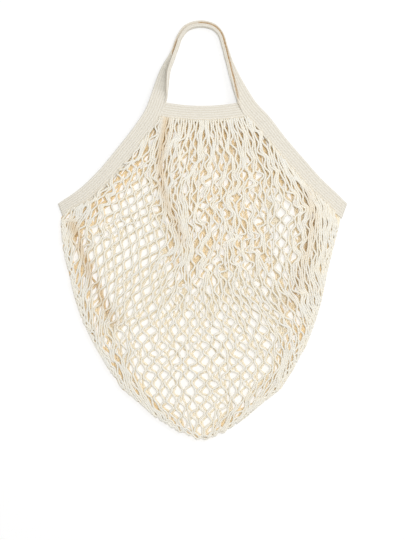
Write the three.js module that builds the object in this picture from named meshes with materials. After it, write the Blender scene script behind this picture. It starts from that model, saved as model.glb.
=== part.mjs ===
import * as THREE from 'three';

// A string shopping bag of cream cotton, lying flat on its back with its mouth towards +Y.
// Millimetres. X runs across the bag, Y from the bottom point to the handles, Z up.
// The origin is on the surface that the bag lies on, under the middle of its outline.
// Two knitted edge bands run from side corner to side corner and make the handles on the way.
// A short mouth band joins the two legs of each handle, and the net hangs from all of them.

// Driving sizes
const cornerSpan = 384;
const shoulderRise = 134;
const handleRise = 109;
const bodyDrop = 314;
const bandWidth = 22;
const mouthBandWidth = 21.5;
const mouthSag = 5;
const bandWall = 1.8;
const netWall = 2.2;
const mouthHeight = 8;
const foldHeight = 5;
const strandWidth = 9;
const tipRise = 12;

// Gaps between pieces, and between the two leaves of a folded handle
const clearance = 0.3;
const seamClearance = 0.6;
const leafSlit = 1.4;

// The side corners' end edge leans this much from level, and the band turns into it over a short way
const cornerLean = THREE.MathUtils.degToRad(70);
const cornerTurn = 26;

// Half-steps of the diamond net across and down, the gaps' zone, and the column where bands meet
const netColumns = 18;
const netRows = 12;
const meetColumn = 3;
const piercedColumns = 6;
const firstPiercedRow = 2;
const lastPiercedRow = 10;

// How blunt a gap's corners are, how thin the net is around a gap, and where columns stand evenly
const gapCornerShare = 0.9;
const thinShare = 0.6;
const evenRowShare = 0.8;

// How fully the front stands up before it falls to the side corners and to the bottom point,
// how soon the handle comes down from the mouth, and how blunt a fold's two ends are
const sideFullness = 4;
const bottomFullness = 6;
const handleDropShare = 0.7;
const foldBluntness = 0.7;

// Steps of the mouth band
const mouthStepsAcross = 10;
const mouthStepsDown = 4;

// Outer edge of a band from the left corner over the handle to the right corner.
// across: share of half the corner span. shoulder, handle: shares of those two rises.
// width: seen width as a share of the band's. leaf: share of it that the turned-over leaf covers.
// fold: how far the inner edge is turned over, from flat, 0, to closed, 1.
const bandRows = [
  { across: -1.0, shoulder: 0.0, handle: 0.0, width: 0.82, leaf: 0.05, fold: 0 },
  { across: -0.849, shoulder: 0.146, handle: 0.0, width: 1.0, leaf: 0.05, fold: 0 },
  { across: -0.718, shoulder: 0.324, handle: 0.0, width: 1.0, leaf: 0.05, fold: 0 },
  { across: -0.579, shoulder: 0.561, handle: 0.0, width: 1.0, leaf: 0.05, fold: 0 },
  { across: -0.482, shoulder: 0.738, handle: 0.0, width: 1.0, leaf: 0.05, fold: 0 },
  { across: -0.399, shoulder: 0.916, handle: 0.0, width: 1.05, leaf: 0.05, fold: 0 },
  { across: -0.364, shoulder: 1.0, handle: 0.043, width: 1.04, leaf: 0.05, fold: 0.1 },
  { across: -0.336, shoulder: 1.0, handle: 0.19, width: 0.91, leaf: 0.12, fold: 0.8 },
  { across: -0.288, shoulder: 1.0, handle: 0.411, width: 0.62, leaf: 0.3, fold: 1 },
  { across: -0.218, shoulder: 1.0, handle: 0.632, width: 0.38, leaf: 0.5, fold: 1 },
  { across: -0.177, shoulder: 1.0, handle: 0.816, width: 0.36, leaf: 0.55, fold: 1 },
  { across: -0.121, shoulder: 1.0, handle: 0.945, width: 0.4, leaf: 0.55, fold: 1 },
  { across: -0.017, shoulder: 1.0, handle: 1.0, width: 0.42, leaf: 0.55, fold: 1 },
  { across: 0.087, shoulder: 1.0, handle: 0.957, width: 0.4, leaf: 0.55, fold: 1 },
  { across: 0.142, shoulder: 1.0, handle: 0.853, width: 0.36, leaf: 0.55, fold: 1 },
  { across: 0.177, shoulder: 1.0, handle: 0.669, width: 0.36, leaf: 0.5, fold: 1 },
  { across: 0.211, shoulder: 1.0, handle: 0.497, width: 0.44, leaf: 0.4, fold: 1 },
  { across: 0.26, shoulder: 1.0, handle: 0.313, width: 0.64, leaf: 0.25, fold: 1 },
  { across: 0.315, shoulder: 1.0, handle: 0.141, width: 0.88, leaf: 0.12, fold: 0.8 },
  { across: 0.371, shoulder: 0.993, handle: 0.0, width: 1.04, leaf: 0.05, fold: 0.1 },
  { across: 0.461, shoulder: 0.855, handle: 0.0, width: 1.0, leaf: 0.05, fold: 0 },
  { across: 0.572, shoulder: 0.648, handle: 0.0, width: 1.0, leaf: 0.05, fold: 0 },
  { across: 0.697, shoulder: 0.441, handle: 0.0, width: 1.0, leaf: 0.05, fold: 0 },
  { across: 0.821, shoulder: 0.243, handle: 0.0, width: 1.0, leaf: 0.05, fold: 0 },
  { across: 0.939, shoulder: 0.085, handle: 0.0, width: 1.0, leaf: 0.05, fold: 0 },
  { across: 1.0, shoulder: 0.0, handle: 0.0, width: 0.95, leaf: 0.05, fold: 0 },
];
const stepsPerRow = 2;
const leastFold = 0.001;

// Side outline of the net. down: share of the body's drop. left, right: shares of half the span.
const outlineRows = [
  { down: 0.0, left: 0.968, right: 0.972 },
  { down: 0.09, left: 0.98, right: 0.946 },
  { down: 0.19, left: 0.966, right: 0.904 },
  { down: 0.29, left: 0.926, right: 0.862 },
  { down: 0.4, left: 0.883, right: 0.828 },
  { down: 0.5, left: 0.828, right: 0.779 },
  { down: 0.6, left: 0.744, right: 0.717 },
  { down: 0.7, left: 0.648, right: 0.627 },
  { down: 0.78, left: 0.56, right: 0.545 },
  { down: 0.85, left: 0.42, right: 0.395 },
  { down: 0.9, left: 0.33, right: 0.305 },
  { down: 0.96, left: 0.175, right: 0.165 },
  { down: 1.0, left: 0.1, right: 0.1 },
];

// Folds of the front net, each a ridge along the net's columns.
// start, end: places across, as shares of the half width. from, to: shares of the way down.
// height: share of the fold height. width: share of the half width.
const foldRows = [
  { start: -0.22, end: -0.1, from: 0.0, to: 0.45, height: 1.0, width: 0.09 },
  { start: -0.86, end: -0.7, from: 0.0, to: 0.6, height: 0.7, width: 0.1 },
  { start: 0.87, end: 0.8, from: 0.0, to: 0.7, height: 0.8, width: 0.09 },
  { start: 0.6, end: 0.5, from: 0.1, to: 0.8, height: 0.6, width: 0.12 },
  { start: 0.15, end: 0.1, from: 0.0, to: 1.0, height: 0.45, width: 0.3 },
];

const halfSpan = cornerSpan / 2;
const middle = (shoulderRise + handleRise - bodyDrop) / 2;
const rollLength = Math.PI * (bandWall + leafSlit) / 2;
const foldedHeight = 2 * bandWall + leafSlit;

const bandMaterial = new THREE.MeshStandardMaterial({ color: 0xe4dfd2, roughness: 0.92, metalness: 0 });
const netMaterial = new THREE.MeshStandardMaterial({ color: 0xeee9dd, roughness: 0.9, metalness: 0 });

// Reads one column of a table of rows at a place along another column
function tableValue(rows, placeName, valueName, place) {
  const beyond = rows.findIndex((row) => row[placeName] > place);
  const index = beyond < 0 ? rows.length - 1 : Math.max(beyond, 1);
  const from = rows[index - 1];
  const to = rows[index];
  const share = (place - from[placeName]) / (to[placeName] - from[placeName]);
  return THREE.MathUtils.lerp(from[valueName], to[valueName], THREE.MathUtils.clamp(share, 0, 1));
}

// A closed cloth wall around a sheet: points, a normal and a thickness at each, and triangles
// that run anticlockwise when the normals point at the viewer. Every free edge gets a rim.
function clothWall(sheet) {
  const count = sheet.points.length;
  const positions = [];
  for (const side of [0.5, -0.5]) {
    sheet.points.forEach((point, index) => {
      const offset = sheet.normals[index].clone().multiplyScalar(side * sheet.thickness[index]);
      positions.push(...point.clone().add(offset).toArray());
    });
  }
  const faces = [];
  const edges = new Set();
  for (const [a, b, c] of sheet.triangles) {
    faces.push(a, b, c, count + a, count + c, count + b);
    edges.add(`${a} ${b}`).add(`${b} ${c}`).add(`${c} ${a}`);
  }
  for (const edge of edges) {
    const [a, b] = edge.split(' ').map(Number);
    if (!edges.has(`${b} ${a}`)) {
      faces.push(a, count + a, count + b, a, count + b, b);
    }
  }
  const geometry = new THREE.BufferGeometry();
  geometry.setAttribute('position', new THREE.Float32BufferAttribute(positions, 3));
  geometry.setIndex(faces);
  geometry.computeVertexNormals();
  return geometry;
}

// Triangles of a grid of points, where the second count runs to the right of the first
function gridTriangles(rows, columns) {
  const triangles = [];
  for (let row = 0; row < rows - 1; row += 1) {
    for (let column = 0; column < columns - 1; column += 1) {
      const corner = row * columns + column;
      triangles.push([corner, corner + 1, corner + columns + 1]);
      triangles.push([corner, corner + columns + 1, corner + columns]);
    }
  }
  return triangles;
}

// Stations along a band: the outer edge's place, the way inwards, and the row values there
const outerEdge = new THREE.CatmullRomCurve3(bandRows.map((row) => new THREE.Vector3(
  row.across * halfSpan,
  row.shoulder * shoulderRise + row.handle * handleRise,
  0,
)), false, 'centripetal');
const stationCount = (bandRows.length - 1) * stepsPerRow + 1;
const stations = [];
for (let index = 0; index < stationCount; index += 1) {
  const share = index / (stationCount - 1);
  const place = outerEdge.getPoint(share);
  const ahead = outerEdge.getTangent(share);
  const side = Math.sign(share - 0.5) || 1;
  const endEdge = new THREE.Vector3(-side * Math.cos(cornerLean), -Math.sin(cornerLean), 0);
  const away = (halfSpan - Math.abs(place.x)) / cornerTurn;
  const inward = endEdge.lerp(new THREE.Vector3(ahead.y, -ahead.x, 0), THREE.MathUtils.smoothstep(away, 0, 1));
  const row = Math.min(Math.floor(index / stepsPerRow), bandRows.length - 2);
  const between = index / stepsPerRow - row;
  const value = (name) => THREE.MathUtils.lerp(bandRows[row][name], bandRows[row + 1][name], between);
  stations.push({
    place,
    inward: inward.normalize(),
    width: value('width') * bandWidth,
    leaf: value('leaf'),
    fold: value('fold'),
  });
}

// Underside of the front: it stands over the back at the mouth and meets it at the side corners
function frontUnderside(x, wall) {
  const share = Math.min(Math.abs(x) / halfSpan, 1);
  return wall + clearance + mouthHeight * (1 - share ** sideFullness);
}

// Underside of the front band: the handle comes down from the mouth onto the back handle
function frontBandUnderside(x, y) {
  const share = (y - shoulderRise) / handleRise;
  const down = THREE.MathUtils.smoothstep(share, 0, handleDropShare);
  return THREE.MathUtils.lerp(frontUnderside(x, bandWall), foldedHeight + clearance, down);
}

// Section of a band from its outer to its inner edge: places inward and up, and the angle there.
// The inner edge is turned over by an arc of fixed length, with the leaf beyond it.
function bandSection(station) {
  const angle = Math.max(station.fold, leastFold) * Math.PI;
  const radius = rollLength / angle;
  const leafLength = station.leaf * station.width;
  const roll = [0, 1 / 3, 2 / 3, 1].map((share) => ({
    inward: radius * Math.sin(share * angle),
    up: radius * (1 - Math.cos(share * angle)),
    angle: share * angle,
  }));
  const turn = roll[roll.length - 1];
  const tip = {
    inward: turn.inward + leafLength * Math.cos(angle),
    up: turn.up + leafLength * Math.sin(angle),
    angle,
  };
  const reach = Math.max(...[...roll, tip].map((point) => point.inward + Math.sin(point.angle) * bandWall / 2));
  const flat = station.width - reach;
  const leaf = [...roll, tip].map((point) => ({ ...point, inward: point.inward + flat }));
  return [{ inward: 0, up: 0, angle: 0 }, { inward: flat / 2, up: 0, angle: 0 }, ...leaf];
}

function edgeBand(undersideAt) {
  const points = [];
  const normals = [];
  for (const station of stations) {
    const base = station.place.clone();
    base.z = undersideAt(base.x, base.y) + bandWall / 2;
    for (const point of bandSection(station)) {
      points.push(base.clone().addScaledVector(station.inward, point.inward).setZ(base.z + point.up));
      const normal = station.inward.clone().multiplyScalar(-Math.sin(point.angle));
      normals.push(normal.setZ(Math.cos(point.angle)));
    }
  }
  const columns = points.length / stations.length;
  const thickness = points.map(() => bandWall);
  return clothWall({ points, normals, thickness, triangles: gridTriangles(stations.length, columns) });
}

// A band's inner edge, moved away from the band by a gap, from the left corner to the right one
function innerEdge(gap) {
  return stations.map((station) => (
    station.place.clone().addScaledVector(station.inward, station.width + gap)
  ));
}

// Where a chain of points first reaches a value of one coordinate, the other coordinate there
function crossing(chain, known, wanted, value) {
  for (let index = 1; index < chain.length; index += 1) {
    const before = chain[index - 1];
    const after = chain[index];
    const share = (value - before[known]) / (after[known] - before[known]);
    if (share >= 0 && share <= 1) {
      return THREE.MathUtils.lerp(before[wanted], after[wanted], share);
    }
  }
  return chain[chain.length - 1][wanted];
}

// Half of the inner edge: the left one runs up from its corner, the right one is turned to do so too
function shoulderEdge(side, gap) {
  const edge = innerEdge(gap);
  const half = Math.floor(edge.length / 2);
  return side < 0 ? edge.slice(0, half) : edge.slice(half).reverse();
}

// The mouth band's place: its upper edge sags between its ends, and its ends follow the edge bands
function mouthPoint(across, down, gap) {
  const y = shoulderRise - mouthSag * (1 - across ** 2) - down * mouthBandWidth;
  const left = crossing(shoulderEdge(-1, gap), 'y', 'x', y);
  const right = crossing(shoulderEdge(1, gap), 'y', 'x', y);
  return new THREE.Vector3(THREE.MathUtils.lerp(left, right, (across + 1) / 2), y, 0);
}

function mouthBand(undersideAt) {
  const points = [];
  for (let step = 0; step <= mouthStepsAcross; step += 1) {
    for (let down = 0; down <= mouthStepsDown; down += 1) {
      const point = mouthPoint(2 * step / mouthStepsAcross - 1, down / mouthStepsDown, seamClearance);
      points.push(point.setZ(undersideAt(point.x) + bandWall / 2));
    }
  }
  const up = new THREE.Vector3(0, 0, 1);
  const triangles = gridTriangles(mouthStepsAcross + 1, mouthStepsDown + 1);
  return clothWall({
    points, normals: points.map(() => up), thickness: points.map(() => bandWall), triangles,
  });
}

// Half width of the net on one side at a height, from the outline rows
function halfWidth(side, y) {
  return halfSpan * tableValue(outlineRows, 'down', side < 0 ? 'left' : 'right', -y / bodyDrop);
}

// Where the net's columns start: under the mouth band in the middle, under the edge bands outside
const meetLeft = mouthPoint(-1, 1, seamClearance);
const meetRight = mouthPoint(1, 1, seamClearance);
const seamEdges = new Map([-1, 1].map((side) => [side, shoulderEdge(side, seamClearance)]));

function topPoint(column) {
  const side = Math.sign(column) || 1;
  const meet = side < 0 ? meetLeft : meetRight;
  const reach = Math.abs(column);
  if (reach <= meetColumn) {
    const point = mouthPoint(column / meetColumn, 1, seamClearance);
    return point.setY(point.y - seamClearance);
  }
  const share = (reach - meetColumn) / (netColumns / 2 - meetColumn);
  const edge = seamEdges.get(side);
  const corner = edge[0].y - seamClearance;
  const x = THREE.MathUtils.lerp(meet.x, side * halfWidth(side, corner), share);
  const y = Math.abs(x) < Math.abs(edge[0].x) ? crossing(edge, 'x', 'y', x) : corner;
  return new THREE.Vector3(x, y - seamClearance * Math.min(share * netColumns, 1), 0);
}

// A place in the net from its column, counted from the middle, and its row, counted from the top
function netPoint(column, row) {
  const side = Math.sign(column) || 1;
  const top = topPoint(column);
  const start = top.x / halfWidth(side, top.y);
  const even = column / (netColumns / 2);
  const down = row / netRows;
  const across = THREE.MathUtils.lerp(start, even, THREE.MathUtils.smoothstep(down, 0, evenRowShare));
  const bottom = -bodyDrop + tipRise * even ** 2;
  const y = THREE.MathUtils.lerp(top.y, bottom, down);
  return { x: across * halfWidth(side, y), y, across, down };
}

// Height of the front net's underside: it falls to the back net along its sides and bottom point
function frontNetUnderside(place) {
  const side = 1 - Math.min(Math.abs(place.across), 1) ** sideFullness;
  const stand = mouthHeight * side * (1 - place.down ** bottomFullness);
  let folds = 0;
  for (const fold of foldRows) {
    const along = (place.down - fold.from) / (fold.to - fold.from);
    const ridge = THREE.MathUtils.lerp(fold.start, fold.end, along);
    const shape = Math.exp(-(((place.across - ridge) / fold.width) ** 2));
    const fade = along >= 0 && along <= 1 ? Math.sin(Math.PI * along) ** foldBluntness : 0;
    folds += fold.height * shape * fade;
  }
  return netWall + clearance + stand + foldHeight * folds * (stand / mouthHeight);
}

// A net of diamonds between bundles of yarn. Cells sit where column plus row is odd, and share
// their four corners and the middles of their sides; the middle of the net is pierced.
function netSheet(undersideAt) {
  const sheet = { points: [], normals: [], thickness: [], triangles: [] };
  const known = new Map();
  const halfColumns = netColumns / 2;

  function addPoint(column, row, share) {
    const key = `${column.toFixed(4)} ${row.toFixed(4)}`;
    if (!known.has(key)) {
      const place = netPoint(column, row);
      known.set(key, sheet.points.length);
      sheet.points.push(new THREE.Vector3(place.x, place.y, undersideAt(place) + netWall / 2));
      sheet.normals.push(new THREE.Vector3(0, 0, 1));
      sheet.thickness.push(share * netWall);
    }
    return known.get(key);
  }

  function cell(column, row) {
    const corners = [[0, -1], [-1, 0], [0, 1], [1, 0]];
    const places = corners.map(([right, down]) => [column + right, row + down]);
    const inside = places.map(([right, down]) => (
      Math.abs(right) <= halfColumns && down >= 0 && down <= netRows
    ));
    const pierced = Math.abs(column) <= piercedColumns && row >= firstPiercedRow && row <= lastPiercedRow;
    const centre = pierced ? null : addPoint(column, row, inside.includes(false) ? 1 : thinShare);
    const open = pierced ? gapShare(places) : 0;
    const inset = (place, share) => addPoint(
      column + (place[0] - column) * open * share,
      row + (place[1] - row) * open * share,
      thinShare,
    );
    for (let index = 0; index < corners.length; index += 1) {
      const next = (index + 1) % corners.length;
      if (inside[index] && inside[next]) {
        const half = [(places[index][0] + places[next][0]) / 2, (places[index][1] + places[next][1]) / 2];
        const outer = [addPoint(...places[index], 1), addPoint(...half, 1), addPoint(...places[next], 1)];
        for (const step of [0, 1]) {
          const [a, b] = [outer[step], outer[step + 1]];
          if (pierced) {
            const ends = [places[index], half, places[next]];
            const shares = [gapCornerShare, 1, gapCornerShare];
            const [c, d] = [inset(ends[step], shares[step]), inset(ends[step + 1], shares[step + 1])];
            sheet.triangles.push([a, b, d], [a, d, c]);
          } else {
            sheet.triangles.push([centre, a, b]);
          }
        }
      }
    }
  }

  // How much of a cell its gap takes, so that half a bundle of yarn is left along each side
  function gapShare(places) {
    const [top, left, bottom, right] = places.map(([column, row]) => netPoint(column, row));
    const halfAcross = Math.hypot(right.x - left.x, right.y - left.y) / 2;
    const halfDown = Math.hypot(top.x - bottom.x, top.y - bottom.y) / 2;
    const fits = halfAcross * halfDown / Math.hypot(halfAcross, halfDown);
    return 1 - strandWidth / 2 / fits;
  }

  for (let row = 0; row <= netRows; row += 1) {
    for (let column = -halfColumns; column <= halfColumns; column += 1) {
      if ((column + halfColumns + row) % 2 === 1) {
        cell(column, row);
      }
    }
  }
  return sheet;
}

function piece(name, geometry, material) {
  const mesh = new THREE.Mesh(geometry, material.clone());
  mesh.name = name;
  return mesh;
}

const bag = new THREE.Group();
bag.position.y = -middle;
bag.add(piece('net_back', clothWall(netSheet(() => 0)), netMaterial));
bag.add(piece('net_front', clothWall(netSheet(frontNetUnderside)), netMaterial));
bag.add(piece('edge_band_back', edgeBand(() => 0), bandMaterial));
bag.add(piece('edge_band_front', edgeBand(frontBandUnderside), bandMaterial));
bag.add(piece('mouth_band_back', mouthBand(() => 0), bandMaterial));
bag.add(piece('mouth_band_front', mouthBand((x) => frontUnderside(x, bandWall)), bandMaterial));

export default bag;
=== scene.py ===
"""A cream cotton string bag lying flat: two layers of knotless net, ribbed tapes and their handles.

Lengths are millimetres in the bag's frame, X across, Y towards the handles and Z up, up to the last step
that makes the meshes. Light, camera and floor are in metres.
"""
import math

import bpy
import numpy as np
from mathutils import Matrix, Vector


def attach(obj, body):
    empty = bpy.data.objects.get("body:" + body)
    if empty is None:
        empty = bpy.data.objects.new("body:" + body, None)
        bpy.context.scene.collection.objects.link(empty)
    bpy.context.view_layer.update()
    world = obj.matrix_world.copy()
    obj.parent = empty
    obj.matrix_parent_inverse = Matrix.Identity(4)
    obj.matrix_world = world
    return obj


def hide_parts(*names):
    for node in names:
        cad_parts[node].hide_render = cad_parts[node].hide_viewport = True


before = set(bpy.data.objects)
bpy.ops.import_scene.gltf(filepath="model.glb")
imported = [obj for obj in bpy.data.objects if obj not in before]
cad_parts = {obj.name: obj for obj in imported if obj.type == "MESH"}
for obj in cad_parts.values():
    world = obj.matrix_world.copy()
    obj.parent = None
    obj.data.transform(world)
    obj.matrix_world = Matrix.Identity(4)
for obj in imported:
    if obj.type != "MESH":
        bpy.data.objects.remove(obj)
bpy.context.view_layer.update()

MM = 0.001
SEED = 7

# The bag's driving sizes
HALF_SPAN = 192.0
SHOULDER_RISE = 134.0
HANDLE_RISE = 109.0
BODY_DROP = 314.0
MIDDLE = (SHOULDER_RISE + HANDLE_RISE - BODY_DROP) / 2
BAND_WIDTH = 22.0
MOUTH_WIDTH = 21.5
MOUTH_SAG = 5.0
BAND_WALL = 1.8
NET_WALL = 2.2
CLEARANCE = 0.3
LEAF_SLIT = 1.4
MOUTH_HEIGHT = 8.0
MOUTH_CENTRE, MOUTH_HALF = 1.7, 57.0
MOUTH_LENGTH = 110.0
NET_TOP = SHOULDER_RISE - BAND_WIDTH
FOLD_HEIGHT = 5.0
CORNER_LEAN = math.radians(70)
CORNER_TURN = 26.0
ROLL_LENGTH = math.pi * (BAND_WALL + LEAF_SLIT) / 2
FOLDED_HEIGHT = 2 * BAND_WALL + LEAF_SLIT
# How far the back net and the back bands lie over the table
NET_LIES, BAND_LIES = 0.15, 0.2

# Outer edge of an edge band: share of the half span, of the shoulder's rise and of the handle's,
# seen width, turned-over leaf's share of it, and how far it is turned over
BAND_ROWS = np.array([
    (-1.0, 0.0, 0.0, 0.82, 0.05, 0), (-0.849, 0.146, 0.0, 1.0, 0.05, 0),
    (-0.718, 0.324, 0.0, 1.0, 0.05, 0), (-0.579, 0.561, 0.0, 1.0, 0.05, 0),
    (-0.482, 0.738, 0.0, 1.0, 0.05, 0), (-0.399, 0.916, 0.0, 1.05, 0.05, 0),
    (-0.364, 1.0, 0.043, 1.04, 0.05, 0.1), (-0.336, 1.0, 0.19, 0.91, 0.12, 0.8),
    (-0.288, 1.0, 0.411, 0.62, 0.3, 1), (-0.218, 1.0, 0.632, 0.38, 0.5, 1),
    (-0.177, 1.0, 0.816, 0.36, 0.55, 1), (-0.121, 1.0, 0.945, 0.4, 0.55, 1),
    (-0.017, 1.0, 1.0, 0.42, 0.55, 1), (0.087, 1.0, 0.957, 0.4, 0.55, 1),
    (0.142, 1.0, 0.853, 0.36, 0.55, 1), (0.177, 1.0, 0.669, 0.36, 0.5, 1),
    (0.211, 1.0, 0.497, 0.44, 0.4, 1), (0.26, 1.0, 0.313, 0.64, 0.25, 1),
    (0.315, 1.0, 0.141, 0.88, 0.12, 0.8), (0.371, 0.993, 0.0, 1.04, 0.05, 0.1),
    (0.461, 0.855, 0.0, 1.0, 0.05, 0), (0.572, 0.648, 0.0, 1.0, 0.05, 0),
    (0.697, 0.441, 0.0, 1.0, 0.05, 0), (0.821, 0.243, 0.0, 1.0, 0.05, 0),
    (0.939, 0.085, 0.0, 1.0, 0.05, 0), (1.0, 0.0, 0.0, 0.95, 0.05, 0),
])
STEPS_PER_ROW = 16

# The yarn: its lobed section, and how far the section turns in a millimetre, in radians
YARN_RADIUS = 1.4
YARN_SIDES = 8
YARN_LOBE, YARN_TWIST = 0.13, 0.55
# Height of a yarn's middle over what it lies on, and its mean rise over that
YARN_MIDDLE, YARN_LIFT = 1.1 * YARN_RADIUS, 0.35
# Each yarn's fibres start this far on from where those of the last one end
NEXT_YARN = 7

# The net: a mesh's side from joint to joint, its limits, how hard a side and its first place pull at a
# joint, and the net's rows and its strands to each side
MESH_SIDE = 12.6
SHORTEST_SIDE, LONGEST_SIDE = 0.8 * MESH_SIDE, 1.12 * MESH_SIDE
SIDE_PULL, HOME_PULL = 0.35, 0.06
ROWS_UNDER_BAND = 4
HALF_ROWS = 42
OUTER_STRAND = 45

# Where chosen strands run: each row is a height, from the mouth down to the bottom point
KEY_STRANDS = [-45, -38, -32, -28, -24, -20, -16, -12, -8, -4, 0,
               4, 8, 12, 16, 20, 24, 28, 32, 38, 45]
KEY_HEIGHTS = [134, 87, 41, 1, -46, -92, -132, -172, -225, -259, -279]
DOWN_KEYS = [-height for height in KEY_HEIGHTS]
KEY_PLACES = np.array([
    (-170, -137, -110, -92, -74, -58, -50, -37, -24, -10, 3,
     16, 29, 42, 55, 68, 86, 105, 124, 152, 185),
    (-165, -140, -124, -113, -97, -74, -59, -47, -33, -16, 2,
     19, 36, 53, 70, 86, 98, 109, 120, 138, 165),
    (-182, -166, -153, -141, -120, -92, -62, -50, -42, -26, -7,
     12, 31, 50, 70, 92, 120, 136, 146, 158, 174),
    (-211, -190, -172, -160, -138, -108, -77, -46, -31, -20, -4,
     15, 34, 53, 72, 93, 122, 138, 149, 166, 187),
    (-223, -202, -184, -172, -152, -126, -96, -67, -42, -24, -8,
     11, 32, 54, 76, 96, 120, 134, 146, 163, 184),
    (-229, -205, -186, -172, -159, -143, -119, -91, -63, -36, -10,
     15, 41, 67, 93, 116, 132, 145, 158, 178, 202),
    (-229, -206, -187, -173, -159, -146, -132, -108, -75, -41, -8,
     25, 58, 90, 115, 131, 144, 157, 170, 190, 213),
    (-214, -190, -171, -158, -145, -132, -120, -105, -78, -41, -4,
     33, 70, 98, 113, 127, 140, 153, 166, 185, 208),
    (-190, -166, -147, -134, -121, -108, -95, -82, -66, -37, 0,
     36, 62, 77, 90, 103, 116, 129, 142, 161, 184),
    (-164, -141, -122, -109, -96, -83, -70, -58, -45, -30, -2,
     26, 39, 51, 64, 77, 90, 103, 116, 135, 158),
    (-158, -135, -116, -103, -90, -78, -66, -53, -39, -22, -2,
     18, 34, 48, 61, 74, 87, 100, 113, 132, 155),
])
# Height of chosen half-rows in the middle, and the slopes at which rows rise beside the middle
KEY_ROWS = [0, 10.2, 18.8, 23.2, 27, 31, 36.2, 41.4]
ROW_HEIGHTS = [147, 41, -46, -92, -132, -172, -225, -280]
LEFT_SLOPE, RIGHT_SLOPE = 0.42, 0.12
LEFT_SLOPE_FROM, RIGHT_SLOPE_FROM = -12, 20

# Lines of the three folds, where the yarn bunches up and is painted in shade, with their half widths
MAIN_FOLD = [(-48, 146), (-56, 96), (-54, 58), (-46, 33), (-35, 10), (-27, -13)]
LEFT_FOLD = [(-172, 8), (-164, -15), (-150, -55), (-139, -80), (-128, -104), (-116, -121)]
RIGHT_FOLD = [(138, 50), (147, 18), (142, -14), (134, -42), (122, -85), (108, -106)]
FOLD_LINES = [(MAIN_FOLD, 5.5), (LEFT_FOLD, 6.5), (RIGHT_FOLD, 7.0)]
# How much weaker the painted fold shade is at the end of each line than at its start
FOLD_FADE = 0.4
# The net hangs closed near the bands' inner edge, near the outline, and where strands lie this close, and
# there the back yarn is painted in a golden shade
NEAR_BAND, NEAR_OUTLINE, PULLED_GAP = (-60, -18), (-34, -14), (4.6, 6.2)
# The outermost yarns' place from the outline
OUTERMOST = (-8, -3)

# Shortest and longest waves of the net's unevenness: bunched meshes, wandering joints, rising yarn
CLUMP_WAVES, WANDER_WAVES, RISE_WAVES = (15, 55), (18, 80), (8, 40)
# How far joints wander across, down and at random, and how much more where the net is loose
WANDER_ACROSS, WANDER_DOWN, JITTER = 0.5, 0.7, 0.35
LOOSE_ACROSS, LOOSE_DOWN, LOOSE_JITTER = 1.5, 2.4, 1.05
# The back layer lies this far beside the front one's joints and below them
BACK_ASIDE, BACK_BELOW = 1.3, 1.0
# From one to the other of these strands it lies half a mesh further to the side as well. Between two
# depths that fades out into a small shift of every strand
BESIDE_FROM, BESIDE_TO = (-12, -5), (16, 21)
LOW_DOWN = (50, 130)
LOW_SHIFT = 0.3

# A strand: how far it goes on under its band and past the outline, the steps from joint to joint, the
# fewest steps worth drawing, and its distance from the middle of a joint
UNDER_BAND, PAST_OUTLINE = 4.0, 2.5
STEPS_PER_MESH = 5
FEWEST_STEPS = 8
JOINT_OFFSET = 0.9 * YARN_RADIUS

# Rise of the bottom edge from its lowest point out to its sides, and how far those lie out
TIP_RISE, TIP_HALF = 9.0, 22.0

# Wavy yarns that follow the side folds round the bottom: the height they hang from, how far in they
# run, how far they swing to the side and up, the length of a wave, and the steps along them
HANGS_FROM = 10.0
SIDE_YARNS = [1.6, 5.2]
SIDE_SWING, SIDE_LIFT = 1.3, 0.3
SIDE_WAVE = 13.0
SIDE_STEP = 2.2
SIDE_DRIFT_STEP = 40
# Points of the edge that they follow: along each side, along the bottom, and in each mean
SIDE_POINTS, BOTTOM_POINTS, MEAN_POINTS = 300, 40, 9

rng = np.random.default_rng(SEED)


def smoothstep(value, low, high):
    share = np.clip((np.asarray(value, float) - low) / (high - low), 0, 1)
    return share * share * (3 - 2 * share)


def smooth_interp(places, keys, values):
    """Smooth curve through given values, with the slopes of a monotone cubic."""
    keys, values = np.asarray(keys, float), np.asarray(values, float)
    steps = np.diff(keys)
    rise = np.diff(values) / steps
    slope = np.zeros(len(keys))
    slope[0], slope[-1] = rise[0], rise[-1]
    same = rise[1:] * rise[:-1] > 0
    mean = (rise[1:] + rise[:-1]) / 2
    slope[1:-1] = np.where(same, mean, 0)
    places = np.asarray(places, float)
    index = np.clip(np.searchsorted(keys, places) - 1, 0, len(steps) - 1)
    t = (places - keys[index]) / steps[index]
    inside = np.clip(t, 0, 1)
    h = steps[index]
    cubic = ((2 * inside ** 3 - 3 * inside ** 2 + 1) * values[index]
             + (inside ** 3 - 2 * inside ** 2 + inside) * h * slope[index]
             + (-2 * inside ** 3 + 3 * inside ** 2) * values[index + 1]
             + (inside ** 3 - inside ** 2) * h * slope[index + 1])
    return cubic + (t - inside) * h * np.where(t > 1, slope[index + 1], slope[index])


class Waves:
    """A smooth random field: a sum of plane waves."""

    def __init__(self, seed, shortest, longest, count=14):
        source = np.random.default_rng(seed)
        length = shortest * (longest / shortest) ** source.random(count)
        angle = source.random(count) * 2 * math.pi
        self.kx = 2 * math.pi / length * np.cos(angle)
        self.ky = 2 * math.pi / length * np.sin(angle)
        self.phase = source.random(count) * 2 * math.pi
        self.scale = math.sqrt(2 / count)

    def __call__(self, x, y):
        x, y = np.asarray(x, float)[..., None], np.asarray(y, float)[..., None]
        return self.scale * np.sin(self.kx * x + self.ky * y + self.phase).sum(-1)


# Heights of the two layers, as in the solids

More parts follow.
